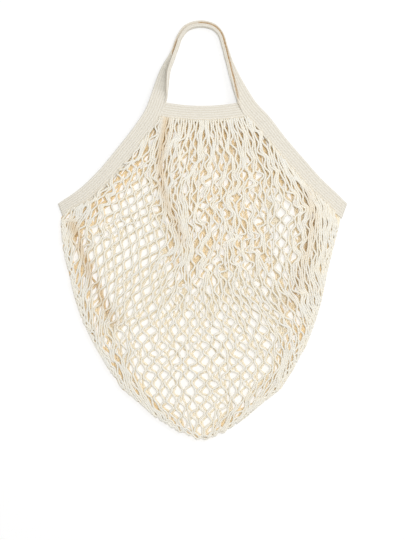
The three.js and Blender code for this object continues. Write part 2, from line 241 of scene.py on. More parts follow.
FOLDS = [
    (-0.22, -0.1, 0.0, 0.45, 1.0, 0.09), (-0.86, -0.7, 0.0, 0.6, 0.7, 0.1),
    (0.87, 0.8, 0.0, 0.7, 0.8, 0.09), (0.6, 0.5, 0.1, 0.8, 0.6, 0.12),
    (0.15, 0.1, 0.0, 1.0, 0.45, 0.3),
]
OUTLINE_DOWN = [0.0, 0.09, 0.19, 0.29, 0.4, 0.5, 0.6, 0.7, 0.78, 0.85, 0.9, 0.96, 1.0]
OUTLINE_LEFT = [.968, .98, .966, .926, .883, .828, .744, .648, .56, .42, .33, .175, .1]
OUTLINE_RIGHT = [.972, .946, .904, .862, .828, .779, .717, .627, .545, .395, .305, .165, .1]


def outline(side, y):
    """The net's edge at a height: the left one, or the right one where side is above 0."""
    down = np.clip(-(np.asarray(y, float) + MIDDLE) / BODY_DROP, 0, 1)
    left = HALF_SPAN * np.interp(down, OUTLINE_DOWN, OUTLINE_LEFT)
    right = HALF_SPAN * np.interp(down, OUTLINE_DOWN, OUTLINE_RIGHT)
    return np.where(np.asarray(side) < 0, -left, right)


def bottom_edge(x):
    """Height of the net's rounded bottom edge over a place."""
    return KEY_HEIGHTS[-1] + 0.5 + TIP_RISE * np.minimum((np.asarray(x, float) / TIP_HALF) ** 2, 1)


def front_net_underside(x, y):
    across = np.clip(np.abs(x) / np.abs(outline(x, y)), 0, 1) * np.where(x < 0, -1, 1)
    down = np.clip((NET_TOP - (y + MIDDLE)) / (NET_TOP + BODY_DROP), 0, 1)
    stand = MOUTH_HEIGHT * (1 - np.abs(across) ** 4) * (1 - down ** 6)
    folds = 0
    for start, end, first, last, height, width in FOLDS:
        along = (down - first) / (last - first)
        ridge = start + (end - start) * along
        shape = np.exp(-(((across - ridge) / width) ** 2))
        fade = np.sin(math.pi * np.clip(along, 0, 1)) ** 0.7
        folds = folds + height * shape * fade
    return NET_WALL + CLEARANCE + stand + FOLD_HEIGHT * folds * (stand / MOUTH_HEIGHT)


def front_underside(x, wall):
    return wall + CLEARANCE + MOUTH_HEIGHT * (1 - np.clip(np.abs(x) / HALF_SPAN, 0, 1) ** 4)


def front_band_underside(x, y):
    share = (y + MIDDLE - SHOULDER_RISE) / HANDLE_RISE
    down = smoothstep(share, 0, 0.7)
    return front_underside(x, BAND_WALL) * (1 - down) + (FOLDED_HEIGHT + CLEARANCE) * down


# The edge band's line, as in the solids: a centripetal curve through the rows

def catmull_rom(points, share):
    """Places and directions along a centripetal Catmull-Rom curve, by the share of its rows."""
    count = len(points)
    padded = np.vstack([2 * points[0] - points[1], points, 2 * points[-1] - points[-2]])
    spot = np.asarray(share, float) * (count - 1)
    index = np.minimum(np.floor(spot).astype(int), count - 2)
    t = spot - index
    p0, p1, p2, p3 = (padded[index + k] for k in range(4))
    d0, d1, d2 = (np.linalg.norm(b - a, axis=1) ** 0.5 for a, b in ((p0, p1), (p1, p2), (p2, p3)))
    d0, d1, d2 = (np.maximum(d, 1e-6)[:, None] for d in (d0, d1, d2))
    m1 = ((p1 - p0) / d0 - (p2 - p0) / (d0 + d1) + (p2 - p1) / d1) * d1
    m2 = ((p2 - p1) / d1 - (p3 - p1) / (d1 + d2) + (p3 - p2) / d2) * d1
    t = t[:, None]
    place = ((2 * t ** 3 - 3 * t ** 2 + 1) * p1 + (t ** 3 - 2 * t ** 2 + t) * m1
             + (-2 * t ** 3 + 3 * t ** 2) * p2 + (t ** 3 - t ** 2) * m2)
    ahead = ((6 * t ** 2 - 6 * t) * p1 + (3 * t ** 2 - 4 * t + 1) * m1
             + (6 * t - 6 * t ** 2) * p2 + (3 * t ** 2 - 2 * t) * m2)
    return place, ahead / np.linalg.norm(ahead, axis=1)[:, None]


def band_stations():
    edge = np.column_stack([
        BAND_ROWS[:, 0] * HALF_SPAN,
        BAND_ROWS[:, 1] * SHOULDER_RISE + BAND_ROWS[:, 2] * HANDLE_RISE - MIDDLE,
    ])
    count = (len(BAND_ROWS) - 1) * STEPS_PER_ROW + 1
    share = np.linspace(0, 1, count)
    place, ahead = catmull_rom(edge, share)
    side = np.where(share < 0.5, -1, 1)
    end_edge = np.column_stack([-side * math.cos(CORNER_LEAN), -np.full(count, math.sin(CORNER_LEAN))])
    turn = smoothstep((HALF_SPAN - np.abs(place[:, 0])) / CORNER_TURN, 0, 1)[:, None]
    inward = end_edge * (1 - turn) + np.column_stack([ahead[:, 1], -ahead[:, 0]]) * turn
    inward /= np.linalg.norm(inward, axis=1)[:, None]
    spot = share * (len(BAND_ROWS) - 1)
    width, leaf, fold = (np.interp(spot, range(len(BAND_ROWS)), BAND_ROWS[:, k]) for k in (3, 4, 5))
    return place, inward, width * BAND_WIDTH, leaf, fold


PLACE, INWARD, WIDTH, LEAF, FOLD = band_stations()
INNER = PLACE + INWARD * WIDTH[:, None]
MIDDLE_STATION = len(INNER) // 2


def inner_edge_y(x):
    """Height of the bands' inner edge over a place: mouth band in the middle, edge bands outside."""
    x = np.asarray(x, float)
    left, right = INNER[:MIDDLE_STATION], INNER[MIDDLE_STATION:][::-1]
    left = left[: int(np.argmax(left[:, 1] > SHOULDER_RISE - MIDDLE - 2)) + 1]
    right = right[: int(np.argmax(right[:, 1] > SHOULDER_RISE - MIDDLE - 2)) + 1]
    on_left = np.interp(x, left[:, 0], left[:, 1])
    on_right = np.interp(-x, -right[:, 0], right[:, 1])
    across = np.clip((x - MOUTH_CENTRE) / MOUTH_HALF, -1, 1)
    mouth = SHOULDER_RISE - MIDDLE - MOUTH_SAG * (1 - across ** 2) - MOUTH_WIDTH
    return np.minimum(np.where(x < 0, on_left, on_right), mouth)


# Meshes

def mesh_object(name, points, faces, coordinates, shade):
    """A mesh from arrays, with a map of millimetres and a depth of painted shade for its material."""
    mesh = bpy.data.meshes.new(name)
    points = np.asarray(points, np.float32) * MM
    faces = np.asarray(faces, np.int32)
    mesh.vertices.add(len(points))
    mesh.vertices.foreach_set("co", points.ravel())
    sides = faces.shape[1]
    mesh.loops.add(faces.size)
    mesh.loops.foreach_set("vertex_index", faces.ravel())
    mesh.polygons.add(len(faces))
    mesh.polygons.foreach_set("loop_start", np.arange(0, faces.size, sides, dtype=np.int32))
    mesh.update(calc_edges=True)
    mesh.shade_smooth()
    layer = mesh.uv_layers.new(name="UVMap")
    layer.data.foreach_set("uv", np.asarray(coordinates, np.float32)[faces.ravel()].ravel())
    depth = mesh.attributes.new("shade", "FLOAT", "POINT")
    depth.data.foreach_set("value", np.asarray(shade, np.float32))
    thing = bpy.data.objects.new(name, mesh)
    bpy.context.scene.collection.objects.link(thing)
    return thing


def tube(line, radius, sides, lobe, twist, start):
    """Rings with an even number of sides along a line, with a lobed section that turns, and closed ends."""
    line = np.asarray(line, float)
    ahead = np.gradient(line, axis=0)
    ahead /= np.maximum(np.linalg.norm(ahead, axis=1), 1e-9)[:, None]
    side = np.cross(ahead, (0, 0, 1.0))
    side /= np.maximum(np.linalg.norm(side, axis=1), 1e-6)[:, None]
    up = np.cross(side, ahead)
    steps = np.linalg.norm(np.diff(line, axis=0), axis=1)
    along = start + np.concatenate([[0], np.cumsum(steps)])
    angle = np.arange(sides) * 2 * math.pi / sides
    reach = radius * (1 + lobe * np.cos(2 * (angle[None, :] - twist * along[:, None])))
    points = (line[:, None, :] + side[:, None, :] * (reach * np.cos(angle))[:, :, None]
              + up[:, None, :] * (reach * np.sin(angle))[:, :, None]).reshape(-1, 3)
    ring = np.arange(len(line) - 1)[:, None] * sides
    spot = np.arange(sides)[None, :]
    after = (spot + 1) % sides
    next_ring = ring + sides
    quads = np.stack([ring + spot, ring + after, next_ring + after, next_ring + spot], -1).reshape(-1, 4)
    last = (len(line) - 1) * sides
    caps = []
    for k in range(1, sides - 1, 2):
        caps.append([0, k + 2, k + 1, k])
        caps.append([last, last + k, last + k + 1, last + k + 2])
    quads = np.vstack([quads, np.array(caps)])
    uv = np.column_stack([
        np.tile(np.arange(sides) / sides, len(line)), np.repeat(along, sides),
    ])
    return points, quads, uv


def joined(name, parts, shade):
    """One mesh from tubes, with its depth of painted shade given as a function of the place."""
    points, faces, maps, base = [], [], [], 0
    for part_points, part_faces, part_map in parts:
        points.append(part_points)
        faces.append(part_faces + base)
        maps.append(part_map)
        base += len(part_points)
    points = np.vstack(points)
    return mesh_object(name, points, np.vstack(faces), np.vstack(maps), shade(points[:, 0], points[:, 1]))


# The net's layout

def strand_places(strand, shifts=0.0):
    """Places of a strand, which may be a broken number and shift, at the key heights."""
    strands = strand + np.zeros(len(KEY_HEIGHTS)) + shifts
    rows = zip(strands, KEY_PLACES)
    return [float(smooth_interp(number, KEY_STRANDS, places)) for number, places in rows]


LEFT_SLOPE_LINE = strand_places(LEFT_SLOPE_FROM)
RIGHT_SLOPE_LINE = strand_places(RIGHT_SLOPE_FROM)


def row_height(row, x, y):
    """Height of a row over a place: level in the middle, rising to the left and a little to the right."""
    level = smooth_interp(row, KEY_ROWS, ROW_HEIGHTS)
    fade = 1 - smoothstep(row, 25, 36)
    left = smooth_interp(-y, DOWN_KEYS, LEFT_SLOPE_LINE)
    right = smooth_interp(-y, DOWN_KEYS, RIGHT_SLOPE_LINE)
    rise = np.clip(left - x, 0, 110) * LEFT_SLOPE + np.clip(x - right, 0, 60) * RIGHT_SLOPE
    return level + rise * fade


def joints(front):
    """Joints of one layer: index of the strand on their left, row, and place."""
    first = 1 if front else 5
    clumps = Waves(SEED + first, *CLUMP_WAVES, count=28)
    wander_x = Waves(SEED + first + 1, *WANDER_WAVES)
    wander_y = Waves(SEED + first + 2, *WANDER_WAVES)
    columns, rows, places = [], [], []
    for column in range(-OUTER_STRAND, OUTER_STRAND):
        middle = column + 0.5
        # The back layer lies half a mesh beside the front one, but under it on the left and low down
        beside = float(smoothstep(middle, *BESIDE_FROM) * (1 - smoothstep(middle, *BESIDE_TO)))
        low_down = smoothstep(DOWN_KEYS, *LOW_DOWN)
        shifts = 0 if front else beside * (1 - low_down) + LOW_SHIFT * low_down
        lines = [strand_places(middle + step, shifts) for step in (-1, 0, 1)]
        for row in range(-ROWS_UNDER_BAND, HALF_ROWS + 1):
            if (column + row) % 2:
                continue
            y = float(smooth_interp(row, KEY_ROWS, ROW_HEIGHTS))
            for _ in range(5):
                x = float(smooth_interp(-y, DOWN_KEYS, lines[1]))
                y = float(row_height(row, x, y))
            before, after = (float(smooth_interp(-y, DOWN_KEYS, line)) for line in (lines[0], lines[2]))
            columns.append(column)
            rows.append(row)
            places.append((x, y, (after - before) / 2))
    column, row = np.array(columns), np.array(rows)
    x, y, width = np.array(places).T
    # Meshes vary most where the net is neither spread open nor pulled closed
    loose = np.maximum(np.exp(-((width - 4.9) / 1.5) ** 2), 0.5 * smoothstep(-y, 60, 130))
    calm = 1 - 0.5 * smoothstep(row, 38, 42)
    tangle = smoothstep(-x, 140, 160) * smoothstep(y, -60, 0)
    pressed = smoothstep(-width, -3.8, -2.8) * smoothstep(-y, -120, -80)
    amount = (0.25 + 0.75 * loose) * calm
    x = x + width * 0.75 * clumps(x, y) * amount
    x = x + (WANDER_ACROSS + LOOSE_ACROSS * loose + tangle) * calm * wander_x(x, y)
    y = y + (WANDER_DOWN + LOOSE_DOWN * loose + 2 * tangle) * calm * wander_y(x, y)
    jitter = (JITTER + LOOSE_JITTER * loose + 1.5 * tangle + 0.6 * pressed) * calm
    x = x + jitter * rng.standard_normal(len(x))
    y = y + jitter * rng.standard_normal(len(x))
    if not front:
        x, y = x + BACK_ASIDE, y - BACK_BELOW
    return column, row, x, y


def relax(column, row, x, y, rounds=24):
    """Evens out the meshes' sides towards their real length, with the borders held."""
    index = {(c, r): k for k, (c, r) in enumerate(zip(column, row))}
    pairs = []
    for (c, r), k in index.items():
        pairs += [(k, index[below]) for below in ((c - 1, r + 1), (c + 1, r + 1)) if below in index]
    a, b = np.array(pairs).T
    held = (row >= HALF_ROWS - 1) | (row < 0) | (y > inner_edge_y(x) + 2)
    held |= (x < outline(-1, y) + 1) | (x > outline(1, y) - 1)
    free = np.where(held, 0.0, 1.0)
    home_x, home_y = x.copy(), y.copy()
    for _ in range(rounds):
        dx, dy = x[b] - x[a], y[b] - y[a]
        length = np.hypot(dx, dy)
        wanted = np.clip(length, SHORTEST_SIDE, LONGEST_SIDE)
        pull = SIDE_PULL * (length - wanted) / np.maximum(length, 1e-6)
        for axis, delta in ((x, dx), (y, dy)):
            move = np.zeros(len(x))
            count = np.full(len(x), 1e-6)
            np.add.at(move, a, pull * delta)
            np.add.at(move, b, -pull * delta)
            np.add.at(count, a, 1.0)
            np.add.at(count, b, 1.0)
            axis += free * move / np.maximum(count / 2, 1)
        x += free * HOME_PULL * (home_x - x)
        y += free * HOME_PULL * (home_y - y)
    return x, y


def net_strands(front):
    """Each strand's line from the bands to the bottom or the outline, drawn from joint to joint."""
    column, row, x, y = joints(front)
    x, y = relax(column, row, x, y)
    index = {(c, r): k for k, (c, r) in enumerate(zip(column, row))}
    lift = Waves(SEED + (11 if front else 12), *RISE_WAVES)
    lines = []
    for strand in range(-OUTER_STRAND, OUTER_STRAND + 1):
        knots = []
        for r in range(-ROWS_UNDER_BAND, HALF_ROWS + 1):
            left = (strand + r) % 2 == 0
            key = (strand, r) if left else (strand - 1, r)
            if key in index:
                k = index[key]
                knots.append((x[k], y[k], -1 if left else 1))
        if len(knots) < 4:
            continue
        knots = np.array(knots)
        # The way down at each joint, from the joints two rows apart
        place = knots[:, :2]
        down = np.gradient(place, axis=0)
        if len(place) > 4:
            down[2:-2] = (place[4:] - place[:-4]) / 4
        down /= np.maximum(np.linalg.norm(down, axis=1), 1e-6)[:, None]
        across = np.column_stack([-down[:, 1], down[:, 0]])
        across *= np.where(across[:, :1] < 0, -1, 1)
        place = place + across * (knots[:, 2] * JOINT_OFFSET)[:, None]
        lines += draw_strand(place, down, lift, front)
    return lines


def fold_shade(x, y):
    """How deep a place lies in the painted shade of the folds, from 0 to 1."""
    shade = np.zeros(len(x))
    for line, width in FOLD_LINES:
        line = np.array(line, float)
        for a, b, share in zip(line[:-1], line[1:], np.linspace(0, 1, len(line) - 1)):
            along = b - a
            t = np.clip(((x - a[0]) * along[0] + (y - a[1]) * along[1]) / (along @ along), 0, 1)
            distance = np.hypot(x - a[0] - t * along[0], y - a[1] - t * along[1])
            fade = 1 - FOLD_FADE * share
            shade = np.maximum(shade, fade * np.exp(-(distance / width) ** 2))
    return shade


def yarn_height(flat, front):
    """Height at which yarn lies in a layer, where it doesn't sway."""
    base = front_net_underside(flat[:, 0], flat[:, 1]) if front else np.full(len(flat), NET_LIES)
    return base + YARN_MIDDLE


def draw_strand(place, down, lift, front):
    """Smooth runs down through each joint that swing over to the next, as far as they show."""
    t = np.linspace(0, 1, STEPS_PER_MESH + 1)[:-1][:, None]
    pieces = []
    for k in range(len(place) - 1):
        gap = np.linalg.norm(place[k + 1] - place[k])
        m0, m1 = down[k] * gap * 1.05, down[k + 1] * gap * 1.05
        pieces.append((2 * t ** 3 - 3 * t ** 2 + 1) * place[k] + (t ** 3 - 2 * t ** 2 + t) * m0
                      + (-2 * t ** 3 + 3 * t ** 2) * place[k + 1] + (t ** 3 - t ** 2) * m1)
    pieces.append(place[-1:])
    flat = np.vstack(pieces)
    # The strand starts a little way under the band that it hangs from, and it is hidden where it
    # goes round the side fold to the other layer
    below = flat[:, 1] < inner_edge_y(flat[:, 0]) + UNDER_BAND
    low, high = outline(-1, flat[:, 1]) + YARN_RADIUS, outline(1, flat[:, 1]) - YARN_RADIUS
    inside = below & (flat[:, 0] > low - PAST_OUTLINE) & (flat[:, 0] < high + PAST_OUTLINE)
    inside &= flat[:, 1] > bottom_edge(flat[:, 0]) + YARN_RADIUS
    edges = np.flatnonzero(np.diff(np.concatenate([[0], inside.astype(int), [0]])))
    shown = flat[:, 1] < inner_edge_y(flat[:, 0])
    flat[:, 0] = np.where(shown, np.clip(flat[:, 0], low, high), flat[:, 0])
    sway = np.clip(lift(flat[:, 0], flat[:, 1]), -1, 1)
    rise = yarn_height(flat, front) + YARN_LIFT * (1 + sway)
    line = np.column_stack([flat, rise])
    return [line[a:b] for a, b in zip(edges[::2], edges[1::2]) if b - a > FEWEST_STEPS]


def strand_gaps(x, y, levels=80):
    """Distance between neighbouring strands at each place."""
    lines = [strand_places(strand) for strand in range(-OUTER_STRAND, OUTER_STRAND + 1)]
    heights = np.linspace(KEY_HEIGHTS[0], KEY_HEIGHTS[-1], levels)
    strands = np.array([smooth_interp(-heights, DOWN_KEYS, line) for line in lines])
    middles = (strands[1:] + strands[:-1]) / 2
    steps = np.diff(strands, axis=0)
    level = (KEY_HEIGHTS[0] - y) / (KEY_HEIGHTS[0] - KEY_HEIGHTS[-1]) * (levels - 1)
    level = np.clip(np.round(level), 0, levels - 1).astype(int)
    gaps = np.zeros(len(x))
    for k in range(levels):
        here = level == k
        gaps[here] = np.interp(x[here], middles[:, k], steps[:, k])
    return gaps


def net_shade(x, y, front):
    """Depth of painted shade of a layer: above 0 in the folds, below 0 for a golden shade where the net
    hangs closed.
    """
    past_outline = np.abs(x) - np.abs(outline(x, y))
    under_bands = smoothstep(y - inner_edge_y(x), *NEAR_BAND)
    at_sides = smoothstep(past_outline, *NEAR_OUTLINE)
    folds = fold_shade(x, y)
    # The front layer is painted with part of the fold shade, more on the left than on the right
    if front:
        return np.where(x < 0, 0.5, 0.2) * folds
    # The back layer's left side strip is painted in fold shade as well
    folds = np.maximum(folds, 0.7 * at_sides * smoothstep(-x, 0, 40))
    pulled = 0.6 * (1 - smoothstep(strand_gaps(x, y), *PULLED_GAP))
    closed = 0.75 * np.maximum(np.maximum(under_bands, at_sides), pulled)
    # The outermost yarns show past the front layer and keep their own colour
    closed = closed * (1 - smoothstep(past_outline, *OUTERMOST))
    return np.where(folds > closed, 0.95 * folds, -closed)


def side_yarns(front):
    """Wavy yarns along the side folds, from one side corner round the bottom point to the other."""
    source = np.random.default_rng(SEED + (31 if front else 32))
    corner = KEY_HEIGHTS[-1] + TIP_RISE
    y = np.linspace(HANGS_FROM, corner, SIDE_POINTS)
    across = np.linspace(outline(-1, corner), outline(1, corner), BOTTOM_POINTS)[1:-1]
    edge = np.vstack([
        np.column_stack([outline(-1, y), y]),
        np.column_stack([across, bottom_edge(across)]),
        np.column_stack([outline(1, y), y])[::-1],
    ])
    along = np.concatenate([[0], np.cumsum(np.linalg.norm(np.diff(edge, axis=0), axis=1))])
    spots = np.arange(0, along[-1], SIDE_STEP)
    edge = np.column_stack([np.interp(spots, along, line) for line in edge.T])
    # The real edge has no corners: each place is the mean of its neighbours
    kernel = np.hanning(MEAN_POINTS) / np.hanning(MEAN_POINTS).sum()
    padded = [np.pad(line, len(kernel) // 2, mode="edge") for line in edge.T]
    edge = np.column_stack([np.convolve(line, kernel, mode="valid") for line in padded])
    ahead = np.gradient(edge, axis=0)
    ahead /= np.linalg.norm(ahead, axis=1)[:, None]
    inward = np.column_stack([-ahead[:, 1], ahead[:, 0]])
    knots = np.arange(0, spots[-1] + SIDE_DRIFT_STEP, SIDE_DRIFT_STEP)
    lines = []
    for number, depth in enumerate(SIDE_YARNS):
        turns = 2 * math.pi * spots / (SIDE_WAVE * source.uniform(0.9, 1.1)) + math.pi * number
        drift = np.interp(spots, knots, source.uniform(0, 1, len(knots)))
        flat = edge + inward * (depth + YARN_RADIUS * 0.4 + SIDE_SWING * np.sin(turns) + drift)[:, None]
        rise = yarn_height(flat, front) + SIDE_LIFT * (1 + np.cos(turns))
        lines.append(np.column_stack([flat, rise]))
    return lines


def build_net(name, front):
    parts, length = [], 0.0
    for line in net_strands(front) + side_yarns(front):
        part = tube(line, YARN_RADIUS, YARN_SIDES, YARN_LOBE, YARN_TWIST, length)
        length += part[2][-1, 1] - part[2][0, 1] + NEXT_YARN
        parts.append(part)
    return joined(name, parts, lambda x, y: net_shade(x, y, front))


# The bands

RIBS = 7
RIB_HEIGHT = 0.4
BAND_POINTS, MOUTH_POINTS = 64, 56
MOUTH_STATIONS = 90
# Half width of the painted shadow in the slit beside the turned-over leaf's edge
SLIT_SHADE = 1.35
# The mouth band's ends follow the legs' inner edges up to this height, and tuck in behind them
MOUTH_LEGS_TOP = 175
MOUTH_TUCK, TUCK_DROP = 3, 0.8
# The knitted leaf curls in, so that less of it shows than of the solid's
LEAF_SHOWN = 0.5


def band_section(width, leaf, fold, count):
    """A tape's section from its outer to its inner edge: places inward and up, and normals."""
    angle = max(fold, 0.001) * math.pi
    radius = ROLL_LENGTH / angle
    leaf_length = leaf * width
    tip_in = radius * math.sin(angle) + leaf_length * math.cos(angle)
    roll = np.linspace(0, 1, 12) * angle
    roll_reach = (radius * np.sin(roll) + np.sin(roll) * BAND_WALL / 2).max()
    reach = max(roll_reach, tip_in + math.sin(angle) * BAND_WALL / 2)
    flat = width - reach
    total = flat + ROLL_LENGTH + leaf_length
    s = np.linspace(0, total, count)
    bend = np.clip((s - flat) / ROLL_LENGTH, 0, 1) * angle
    inward = np.where(s <= flat, s, flat + radius * np.sin(bend))
    up = np.where(s <= flat, 0, radius * (1 - np.cos(bend)))
    past = np.maximum(s - flat - ROLL_LENGTH, 0)
    inward = inward + past * math.cos(angle)
    up = up + past * math.sin(angle)
    return inward, up, bend


def ribbed(s):
    """A rib's profile across the tape, with s from 0 to 1."""
    return RIB_HEIGHT * (np.abs(np.sin(math.pi * RIBS * s)) ** 0.7 - 0.6)


def tape(name, centre_lines, normals, along, across, shade):
    """A closed ribbed wall round a grid of places, normals and depths of painted shade, ribs lengthwise."""
    rows, count = along.size, across.size
    edge = np.sqrt(np.clip(1 - (np.abs(2 * across - 1) - 0.93).clip(0) ** 2 / 0.07 ** 2, 0.05, 1))
    half = (BAND_WALL / 2 + ribbed(across)) * edge
    top = centre_lines + normals * half[None, :, None]
    low = centre_lines - normals * half[None, :, None]
    ring = np.concatenate([top, low[:, ::-1]], axis=1)
    points = ring.reshape(-1, 3)
    around = 2 * count
    row = np.arange(rows - 1)[:, None] * around
    spot = np.arange(around)[None, :]
    after = (spot + 1) % around
    next_row = row + around
    faces = np.stack([row + spot, next_row + spot, next_row + after, row + after], -1).reshape(-1, 4)
    ends = []
    last = (rows - 1) * around
    for k in range(count - 1):
        a, b, c, d = k, k + 1, around - 2 - k, around - 1 - k
        ends.append([a, b, c, d])
        ends.append([last + d, last + c, last + b, last + a])
    faces = np.vstack([faces, np.array(ends)])
    u = np.concatenate([across, across[::-1] + 2]) * BAND_WIDTH
    uv = np.column_stack([np.tile(u, rows), np.repeat(along, around)])
    return mesh_object(name, points, faces, uv, np.concatenate([shade, shade[:, ::-1]], axis=1).ravel())


def folded_shade(k, inward, bend):
    """Painted shade of the folded handle's section: above 0 for a shadow in its slit and on the leaf's
    edge, below 0 where it is painted as turned away from the light.
    """
    leaf_edge = inward[-1] - 0.6 * SLIT_SHADE
    slit_shadow = np.exp(-((inward - leaf_edge) / SLIT_SHADE) ** 2) * (bend < 0.1)
    leaf_edge_shade = smoothstep(np.linspace(0, 1, len(inward)), 0.94, 1.0)
    x, y = PLACE[k]
    # The painted slit shadow is strongest on the right leg, at the top, and high on the left leg
    top = smoothstep(x, -8, -2)
    left = smoothstep(y, 232, 238) * smoothstep(-y, -256, -250)
    slit_shadow_strength = 0.25 + 0.75 * max(float(top), float(left) * 0.8)
    # The left leg's outer part is painted in shade, as if it stood on its edge a little and turned away
    # from the light
    turned_away_shade = smoothstep(-x, 14, 26) * smoothstep(y, 160, 200) * smoothstep(-y, -246, -222)
    turned_away_shade = turned_away_shade * (inward < leaf_edge) * (0.45 + 0.55 * smoothstep(inward / leaf_edge, 0.2, 0.9))
    shade = np.maximum(slit_shadow, 0.7 * leaf_edge_shade) * slit_shadow_strength
    return FOLD[k] ** 2 * np.where(turned_away_shade > shade, -0.9 * turned_away_shade, shade)


def build_edge_band(name, underside):
    count = BAND_POINTS
    along = np.concatenate([[0], np.cumsum(np.linalg.norm(np.diff(PLACE, axis=0), axis=1))])
    centres = np.zeros((len(PLACE), count, 3))
    normals = np.zeros_like(centres)
    shade = np.zeros((len(PLACE), count))
    # Random strength of the painted handle shade, station by station
    dotted_shade = np.random.default_rng(SEED + 40)
    base = underside(PLACE[:, 0], PLACE[:, 1]) + BAND_WALL / 2
    for k in range(len(PLACE)):
        inward, up, bend = band_section(WIDTH[k], LEAF[k] * LEAF_SHOWN, FOLD[k], count)
        centres[k, :, :2] = PLACE[k] + INWARD[k] * inward[:, None]
        centres[k, :, 2] = base[k] + up
        normals[k, :, :2] = INWARD[k] * -np.sin(bend)[:, None]
        normals[k, :, 2] = np.cos(bend)
        shade[k] = folded_shade(k, inward, bend) * dotted_shade.uniform(0.65, 1.0)
    return tape(name, centres, normals, along, np.linspace(0, 1, count), shade)


def build_mouth_band(name, underside):
    steps, count = MOUTH_STATIONS, MOUTH_POINTS
    across = np.linspace(-1, 1, steps)
    down = np.linspace(0, 1, count)
    top = SHOULDER_RISE - MIDDLE - MOUTH_SAG * (1 - across ** 2)
    y = top[:, None] - down[None, :] * MOUTH_WIDTH
    left, right = INNER[:MIDDLE_STATION], INNER[MIDDLE_STATION:][::-1]
    left, right = left[left[:, 1] < MOUTH_LEGS_TOP], right[right[:, 1] < MOUTH_LEGS_TOP]
    start = np.interp(y, left[:, 1], left[:, 0]) - MOUTH_TUCK
    end = np.interp(y, right[:, 1], right[:, 0]) + MOUTH_TUCK
    x = start + (end - start) * (across[:, None] + 1) / 2
    tuck = smoothstep(np.abs(across), 0.93, 1)[:, None]
    # Only the front band has room to dip under its legs
    z = underside(x) + BAND_WALL / 2 - TUCK_DROP * tuck * (underside(x) > 1)
    centres = np.stack([x, y, z], -1)
    normals = np.broadcast_to(np.array([0, 0, 1.0]), centres.shape)
    along = (across + 1) * (MOUTH_LENGTH / 2)
    return tape(name, centres, normals, along, down, np.zeros((steps, count)))


# Materials

def material(name):
    made = bpy.data.materials.new(name)
    made.use_nodes = True
    tree = made.node_tree
    tree.nodes.clear()
    shader = tree.nodes.new("ShaderNodeBsdfPrincipled")
    out = tree.nodes.new("ShaderNodeOutputMaterial")
    tree.links.new(shader.outputs[0], out.inputs[0])
    return made, tree, shader


def node(tree, kind, **values):
    made = tree.nodes.new("ShaderNode" + kind)
    for key, value in values.items():
        if key in made.inputs:
            made.inputs[key].default_value = value
        else:
            setattr(made, key, value)
    return made


def mixed(tree, factor, low, high):
    """A colour between two colours or links, by a link."""
    made = tree.nodes.new("ShaderNodeMix")
    made.data_type = "RGBA"
    tree.links.new(factor, made.inputs[0])
    for socket, value in ((made.inputs[6], low), (made.inputs[7], high)):
        if isinstance(value, tuple):
            socket.default_value = (*value, 1)
        else:
            tree.links.new(value, socket)
    return made.outputs[2]


def ranged(tree, value, low, high, first=0.0, last=1.0):
    """A link's value, moved from one range to another and kept inside it."""
    made = node(tree, "MapRange")
    for socket, number in (("From Min", low), ("From Max", high), ("To Min", first), ("To Max", last)):
        made.inputs[socket].default_value = number
    tree.links.new(value, made.inputs["Value"])
    return made.outputs[0]


def combined(tree, operation, value, other):
    """The sum or product of two links, or of a link and a number."""
    made = node(tree, "Math", operation=operation)
    tree.links.new(value, made.inputs[0])
    if isinstance(other, float):
        made.inputs[1].default_value = other
    else:
        tree.links.new(other, made.inputs[1])
    return made.outputs[0]


def noise(tree, place, scale, detail):
    made = node(tree, "TexNoise", Scale=scale, Detail=detail)
    tree.links.new(place, made.inputs["Vector"])
    return made.outputs[0]


def relief(tree, height, strength, distance, shader):
    """Gives a shader the fine relief of a height."""
    bump = node(tree, "Bump", Strength=strength, Distance=distance)
    tree.links.new(height, bump.inputs["Height"])
    tree.links.new(bump.outputs[0], shader.inputs["Normal"])


def shaded(tree, colour, below, above):
    """A colour that turns to one painted shade tint where the mesh's shade is below 0, and to another above
    0.
    """
    shade = node(tree, "Attribute", attribute_name="shade").outputs["Fac"]
    lower = mixed(tree, combined(tree, "MULTIPLY", shade, -1.0), colour, below)
    return mixed(tree, shade, lower, above)


def cotton(name, sheen):
    made, tree, shader = material(name)
    shader.inputs["Roughness"].default_value = 0.9
    shader.inputs["Specular IOR Level"].default_value = 0.2
    shader.inputs["Sheen Weight"].default_value = sheen
    shader.inputs["Sheen Roughness"].default_value = 0.6
    return made, tree, shader


def yarn_material(name, light, deep):
    """Twisted yarn with painted shade: sides and underside deeper than the top, a closed layer's golden
    shade where the mesh's shade is below 0, and a fold's above 0.
    """
    made, tree, shader = cotton(name, 0.12)
    link = tree.links.new
    shader.inputs["Sheen Tint"].default_value = (1.0, 0.93, 0.8, 1.0)
    # Painted shade: the yarn's sides and underside are painted deeper and more golden than its top
    split = node(tree, "SeparateXYZ")
    link(node(tree, "NewGeometry").outputs["Normal"], split.inputs[0])
    base = mixed(tree, ranged(tree, split.outputs["Z"], -0.2, 0.75), deep, light)
    patches = noise(tree, node(tree, "TexCoord").outputs["Object"], 60.0, 3.0)
    patched = mixed(tree, ranged(tree, patches, 0.35, 0.75, last=0.3), base, deep)
    link(shaded(tree, patched, CLOSED_SHADE_TINT, FOLD_SHADE_TINT), shader.inputs["Base Color"])
    # Fibres run round the yarn at a slant
    place = node(tree, "Mapping")
    place.inputs["Scale"].default_value = (7.0, 0.55, 1.0)
    place.inputs["Rotation"].default_value = (0, 0, 0.25)
    link(node(tree, "UVMap", uv_map="UVMap").outputs[0], place.inputs["Vector"])
    relief(tree, noise(tree, place.outputs[0], 3.0, 4.0), 0.5, 0.0004, shader)
    return made


